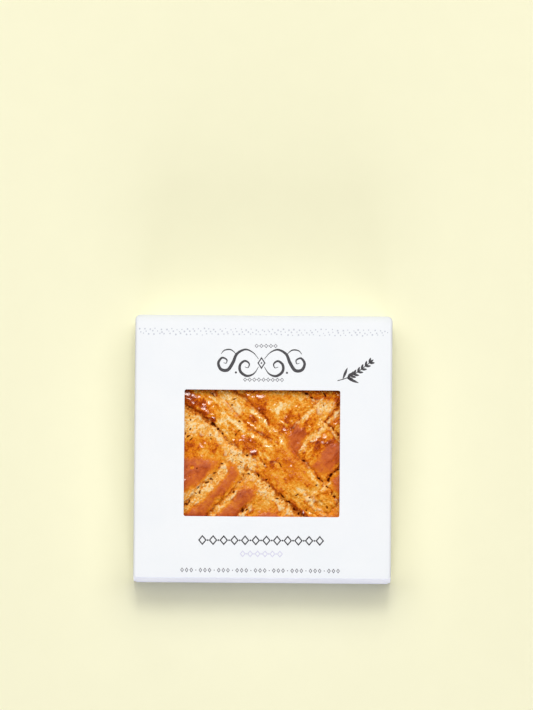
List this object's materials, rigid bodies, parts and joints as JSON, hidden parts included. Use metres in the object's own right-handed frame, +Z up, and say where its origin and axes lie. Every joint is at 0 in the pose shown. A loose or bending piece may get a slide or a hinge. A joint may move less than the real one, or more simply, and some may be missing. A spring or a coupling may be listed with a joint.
{
  "type": "boxed breton butter cake",
  "caption": "Flat square butter cake with a fork-marked, egg-glazed crust, lying in a shut folded-card carton whose front panel has a large open window.",
  "frame": {"origin": "middle of the carton's underside, where it lies on a table with the window up", "axes": "+Z up through the window, +X to the reader's right across the front panel, +Y to the carton's far end with the broad soft fold"},
  "size_m": [0.13, 0.134, 0.028],
  "materials": {
    "carton_card": "glossy coated white card",
    "cake_crust": "baked crust, golden brown with an egg glaze"
  },
  "bodies": {
    "root": {"carton": "carton_card", "cake": "cake_crust"}
  },
  "joints": []
}
